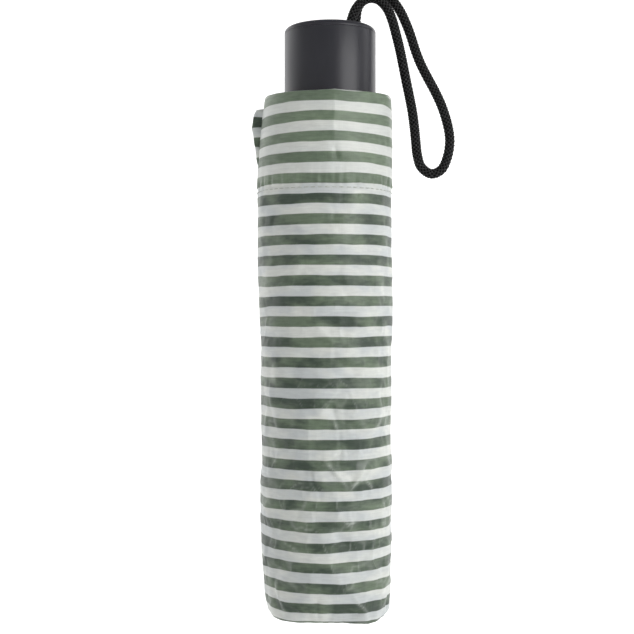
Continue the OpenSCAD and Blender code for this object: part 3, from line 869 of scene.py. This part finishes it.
def make_stitches():
    """One row of lockstitch holds the hem, and another runs down beside the side seam."""
    out_by = 0.05 * MM

    def place(x, z):
        angle, height = np.array([x / MEAN_R]), np.array([z])
        spot = sleeve_point(angle, height, sleeve_radius(angle, height) + out_by)[0]
        return spot, np.array([math.sin(angle[0]), -math.cos(angle[0]), 0])

    around = AROUND * MM
    hem_row, seam_row = HEM_Z - 1.5 * MM, SEAM_X * MM - 1.9 * MM
    starts, ends = [], []
    for k in range(HEM_STITCHES):
        x = -around / 2 + around * k / HEM_STITCHES
        starts.append(place(x, hem_row))
        ends.append(place(x + STITCH_LENGTH, hem_row)[0])
    for k in range(SEAM_STITCHES):
        z = 10 * MM + SEAM_STITCH_STEP * k
        starts.append(place(seam_row, z))
        ends.append(place(seam_row, z + STITCH_LENGTH)[0])
    spots, outward = zip(*starts)
    pieces = [grid_piece("stitch", points, None, False, True, MATERIALS["thread"])
              for points in thread_run(spots, ends, outward, THREAD_R)]
    stitches = join_pieces("sleeve_stitches", pieces)
    part_of_sleeve(stitches)


# how far the tab stands out from the shaft, by height, in millimetres
TAB_REACH = [(177.5, 28.6), (181, 29.4), (184.5, 30.1), (190, 30.9),
             (195.6, 31.7), (199, 32.5), (203.5, 31.7), (207, 30.5)]


def make_tab():
    """A loop of the same cloth, folded over and sewn into the side seam, that stands out to the left."""
    heights = np.linspace(TAB_REACH[0][0], TAB_REACH[-1][0], 44)
    turn = np.linspace(0, 1, 41)
    root, thick = 26.2, 0.35
    layers = []
    for inside in (0, 1):
        rows = []
        for z in heights:
            reach = np.interp(z, *zip(*TAB_REACH)) - inside * thick
            belly = (1.9 + 0.5 * math.sin(z * 0.55) + 0.3 * math.sin(z * 1.3)) - inside * thick
            x = -(root + (reach - root) * np.sin(pi * turn) ** 0.62)
            y = 0.4 - belly * np.cos(pi * turn) * (0.55 + 0.45 * np.sin(pi * turn))
            lift = 0.5 * np.sin(pi * turn) * math.sin(z * 0.9)
            rows.append(np.stack([x, y, z + lift], -1))
        layers.append(np.array(rows) * MM)
    width = np.linspace(0, 14 * MM, len(turn))
    points, uv = two_sided(*layers, stacked(width[None, :], heights[:, None] * MM))
    tab = grid_piece("sleeve_tab_cloth", points, uv, True, False, MATERIALS["tab"])
    part_of_sleeve(tab)
    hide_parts("sleeve_tab")


# ---- the folded canopy ----

STRAP_LIFT = 1.3 * MM  # keeps the strap off the cloth when the canopy is open


def travel(joint):
    """The signed angle a hinge turns through from rest to fully open, in radians."""
    low, high = JOINTS[joint]["range_deg"]
    return math.radians(high if abs(high) > abs(low) else low)


def hinge(joint):
    """A hinge's pivot, by radius and height at rest, and the angle it turns through."""
    x, _, z = JOINTS[joint]["pos_m"]
    return (x, z), travel(joint)


CROWN, FOLD, ELBOW = hinge("canopy_open"), hinge("mid_rib_1_fold"), hinge("tip_rib_1_fold")
CHAINS = {"top": [CROWN], "mid": [FOLD, CROWN], "tip": [ELBOW, FOLD, CROWN]}
SPREAD = travel("top_gore_1_spread")
HALF_WIDTHS = {"top": 5.4 * MM, "mid": 5.8 * MM, "tip": 11.0 * MM}
GORE_T = 0.2 * MM


def opened(section, r, z):
    """Where a point of a rib's plane at rest, by radius and height, lies once the canopy is open."""
    for (pivot_r, pivot_z), angle in CHAINS[section]:
        dr, dz = r - pivot_r, z - pivot_z
        c, s = math.cos(angle), math.sin(angle)
        r, z = pivot_r + dr * c + dz * s, pivot_z - dr * s + dz * c
    return r, z


def meeting(section_a, r_a, section_b, r_b):
    """The heights at rest at which upright lines of two sections meet once the canopy is open."""
    a0, a1 = np.array(opened(section_a, r_a, 0.0)), np.array(opened(section_a, r_a, 1.0))
    b0, b1 = np.array(opened(section_b, r_b, 0.0)), np.array(opened(section_b, r_b, 1.0))
    return np.linalg.solve(np.stack([a1 - a0, b0 - b1], 1), b0 - a0)


def across_at(bearing, half_width, open_r):
    """The place across the folded strip that ends at this bearing from the rib once it is open."""
    low, high = np.full(bearing.shape, -half_width), np.full(bearing.shape, half_width)
    for _ in range(40):
        middle = (low + high) / 2
        got = SPREAD * smoothstep(middle, -half_width, half_width) + np.arctan2(middle, open_r)
        low, high = np.where(got < bearing, middle, low), np.where(got < bearing, high, middle)
    return (low + high) / 2


SECTION_ROWS = {"top": 44, "mid": 44, "tip": 60}
BEARINGS = np.linspace(0, SPREAD, 31)
OVER_JOINT = 2.4 * MM * np.cos(BEARINGS * pi / SPREAD) ** 2  # the cloth clears the rib's pivot
TOP_R, MID_R, TIP_R = 10.9 * MM, 11.6 * MM, 17.5 * MM
CANOPY_START = 19 * MM  # the height of the cloth's first row, above the crown
HEM_DIP = 36 * MM  # how far the hem curves in between two ribs
LOBE_DEPTH, LOBE_GROWTH = 2.1 * MM, 25 * MM  # the folded outer strips bow outwards at their edges
RIPPLE = 0.12 * MM


def gore_rows(section):
    """For each row: the radius and height at rest at every bearing, and the length from the crown."""
    fold = np.array([meeting("top", TOP_R + over, "mid", MID_R - over) for over in OVER_JOINT])
    elbow = meeting("mid", MID_R, "tip", TIP_R)
    top_length = fold[len(BEARINGS) // 2, 0] - CANOPY_START
    mid_length = fold[len(BEARINGS) // 2, 1] - elbow[0]
    (crown_r, crown_z), _ = CROWN
    start = CANOPY_START - crown_z + crown_r
    share = np.linspace(0, 1, SECTION_ROWS[section])[:, None]
    if section == "top":
        z = CANOPY_START + (fold[:, 0] - CANOPY_START)[None, :] * share
        r = TOP_R + OVER_JOINT[None, :] * smoothstep(share, 0.86, 1)
        return r, z, start + top_length * share
    if section == "mid":
        z = fold[:, 1][None, :] + (elbow[0] - fold[:, 1])[None, :] * share
        r = MID_R - OVER_JOINT[None, :] * smoothstep(share, 0.14, 0)
        return r, z, start + top_length + mid_length * share
    tip_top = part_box("tip_gore_1")[1].z
    hem = tip_top - HEM_DIP * np.sin(BEARINGS * pi / SPREAD)[None, :]
    z = elbow[1] + (hem - elbow[1]) * share
    return TIP_R + 0 * z, z, start + top_length + mid_length + (z - elbow[1])


def make_gore(section, k):
    """One panel's cloth over one rib section. At rest it is a strip against the rib, laid out so that,
    spread from the rib towards the gore, it would reach the next rib."""
    half = HALF_WIDTHS[section]
    r, z, length = gore_rows(section)
    bearing = np.broadcast_to(BEARINGS[None, :], z.shape)
    t = across_at(bearing, half, opened(section, r, z)[0])
    if section == "tip":
        lobes = smoothstep((z - z[0]) / LOBE_GROWTH)
        r = r + LOBE_DEPTH * lobes * (t / half) ** 2
    ripple = np.sin(z / MM * 0.23 + k * 1.7) * np.sin(t / half * 4 + k)
    inside_edges = np.sin(bearing * pi / SPREAD) * np.sin(np.linspace(0, pi, len(z)))[:, None]
    r = r + RIPPLE * ripple * inside_edges
    along = length * np.cos(bearing - SPREAD / 2) / math.cos(SPREAD / 2)
    turn = RIB_STEP * (k - 1)
    c, s = math.cos(turn), math.sin(turn)
    inner, outer = [stacked(layer * c - t * s, layer * s + t * c, z) for layer in (r, r + GORE_T)]
    points, uv = two_sided(inner, outer, stacked((bearing - SPREAD / 2) * length, along))
    gore = grid_piece(f"{section}_gore_cloth_{k}", points, uv, True, False, MATERIALS["canopy"])
    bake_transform(gore)
    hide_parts(f"{section}_gore_{k}")


def make_crown_patch():
    """The round patch of cloth clamped between the crown and its cap."""
    angle = full_turn(96)[None, :]
    line, _ = curve_through([(5.3, 10.7), (8, 10.72), (10.6, 10.8), (11.8, 12), (12.5, 14.2)], 0.4)
    r, z = line[:, 0][:, None], line[:, 1][:, None]
    scallop = 1 - 0.05 * smoothstep(r, 10.6, 12.5) * (0.5 - 0.5 * np.cos(angle * RIB_COUNT))
    upper = np.stack([r * scallop * np.sin(angle), -r * scallop * np.cos(angle), z + 0 * angle], -1) * MM
    flat = np.concatenate([upper, upper[:, :1]], 1)[..., :2]
    points, uv = two_sided(upper, upper - (0, 0, GORE_T * 0.5), flat)
    patch = grid_piece("crown_patch_cloth", points, uv, True, True, MATERIALS["canopy"])
    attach(patch, "upper_tube")


def make_strap():
    """The closing strap lies along the first rib's fold, with a press stud near its lower end."""
    low, high = STRAP_LOW, STRAP_HIGH
    rows, across = np.linspace(0, 1, 90)[:, None], np.linspace(-1, 1, 15)[None, :]
    half = (high.y - low.y) / 2
    z = low.z + (high.z - low.z) * rows
    rounded = np.sqrt(1 - (1 - np.clip((z - low.z) / half, 0, 1)) ** 2)
    y = half * across * np.maximum(rounded, 0.02)
    bow = 0.18 * MM * np.sin(rows * 19) * (1 - across ** 2) + 0.16 * MM * np.sin(rows * 7 + 1)
    edge = 0.14 * MM * np.exp(-((np.abs(across) - 0.78) / 0.1) ** 2)
    middle, half_t = (low.x + high.x) / 2 + STRAP_LIFT, 0.26 * MM
    front = stacked(middle + half_t + bow - edge, y, z)
    back = stacked(middle - half_t + bow, y, z)
    points, uv = two_sided(front, back, stacked(y, z))
    strap = grid_piece("closing_strap_cloth", points, uv, True, False, MATERIALS["canopy"])
    stand_in(strap, "closing_strap", "tip_rib_1")


# the stud's outline from its middle round to its back, in shares of its radius and its height
SNAP_PROFILE = [(0.001, 1), (0.28, 1), (0.36, 0.86), (0.5, 0.72), (0.72, 0.62), (0.8, 0.72),
                (0.9, 0.78), (1, 0.5), (0.96, 0), (0.5, 0), (0.001, 0)]


def make_snap():
    """A pressed steel stud: a rolled rim round a shallow dome with a small flat button."""
    radius, base = (SNAP_HIGH.y - SNAP_LOW.y) / 2, SNAP_LOW.x + STRAP_LIFT
    rise = SNAP_HIGH.x - SNAP_LOW.x
    line, _ = curve_through([(radius * out, base + rise * up) for out, up in SNAP_PROFILE], 0.12 * MM)
    angle = full_turn(56)[None, :]
    r, x, z = line[:, 0][:, None], line[:, 1][:, None], (SNAP_LOW.z + SNAP_HIGH.z) / 2
    points = stacked(x, r * np.cos(angle), z + r * np.sin(angle))
    snap = grid_piece("strap_press_stud", points, None, True, True, MATERIALS["bright"])
    stand_in(snap, "strap_snap", "tip_rib_1")


# ---- the frame's own parts keep their CAD shape ----

CAD_FINISHES = {
    "tube_socket": ("socket", "black_plastic"), "shaft_pin": ("bright", "bright_steel"),
    "lower_tube": ("shaft", "shaft_steel"), "middle_tube": ("shaft", "shaft_steel"),
    "upper_tube": ("shaft", "shaft_steel"), "crown_notch": ("black", "black_plastic"),
    "crown_ring": ("bright", "bright_steel"), "crown_cap": ("black", "black_plastic"),
    "runner": ("black", "black_plastic"), "top_rib": ("rib", "rib_steel"),
    "mid_rib": ("rib", "rib_steel"), "tip_rib": ("wire", "tip_wire"), "stretcher": ("rib", "rib_steel"),
}


def finish_cad_nodes():
    """Each kept CAD part gets its material. The six of a kind share an entry."""
    for name, node in frame["nodes"].items():
        kind = name.rsplit("_", 1)[0] if name[-1].isdigit() else name
        if kind in CAD_FINISHES:
            finish, slot = CAD_FINISHES[kind]
            node.data.materials.clear()
            node.data.materials.append(MATERIALS[finish])


make_camera()
make_cord()
make_knot()
make_studio()
make_handle()
make_sleeve()
make_stitches()
make_tab()
for rib in range(1, RIB_COUNT + 1):
    for part in ("top", "mid", "tip"):
        make_gore(part, rib)
make_crown_patch()
make_strap()
make_snap()
finish_cad_nodes()
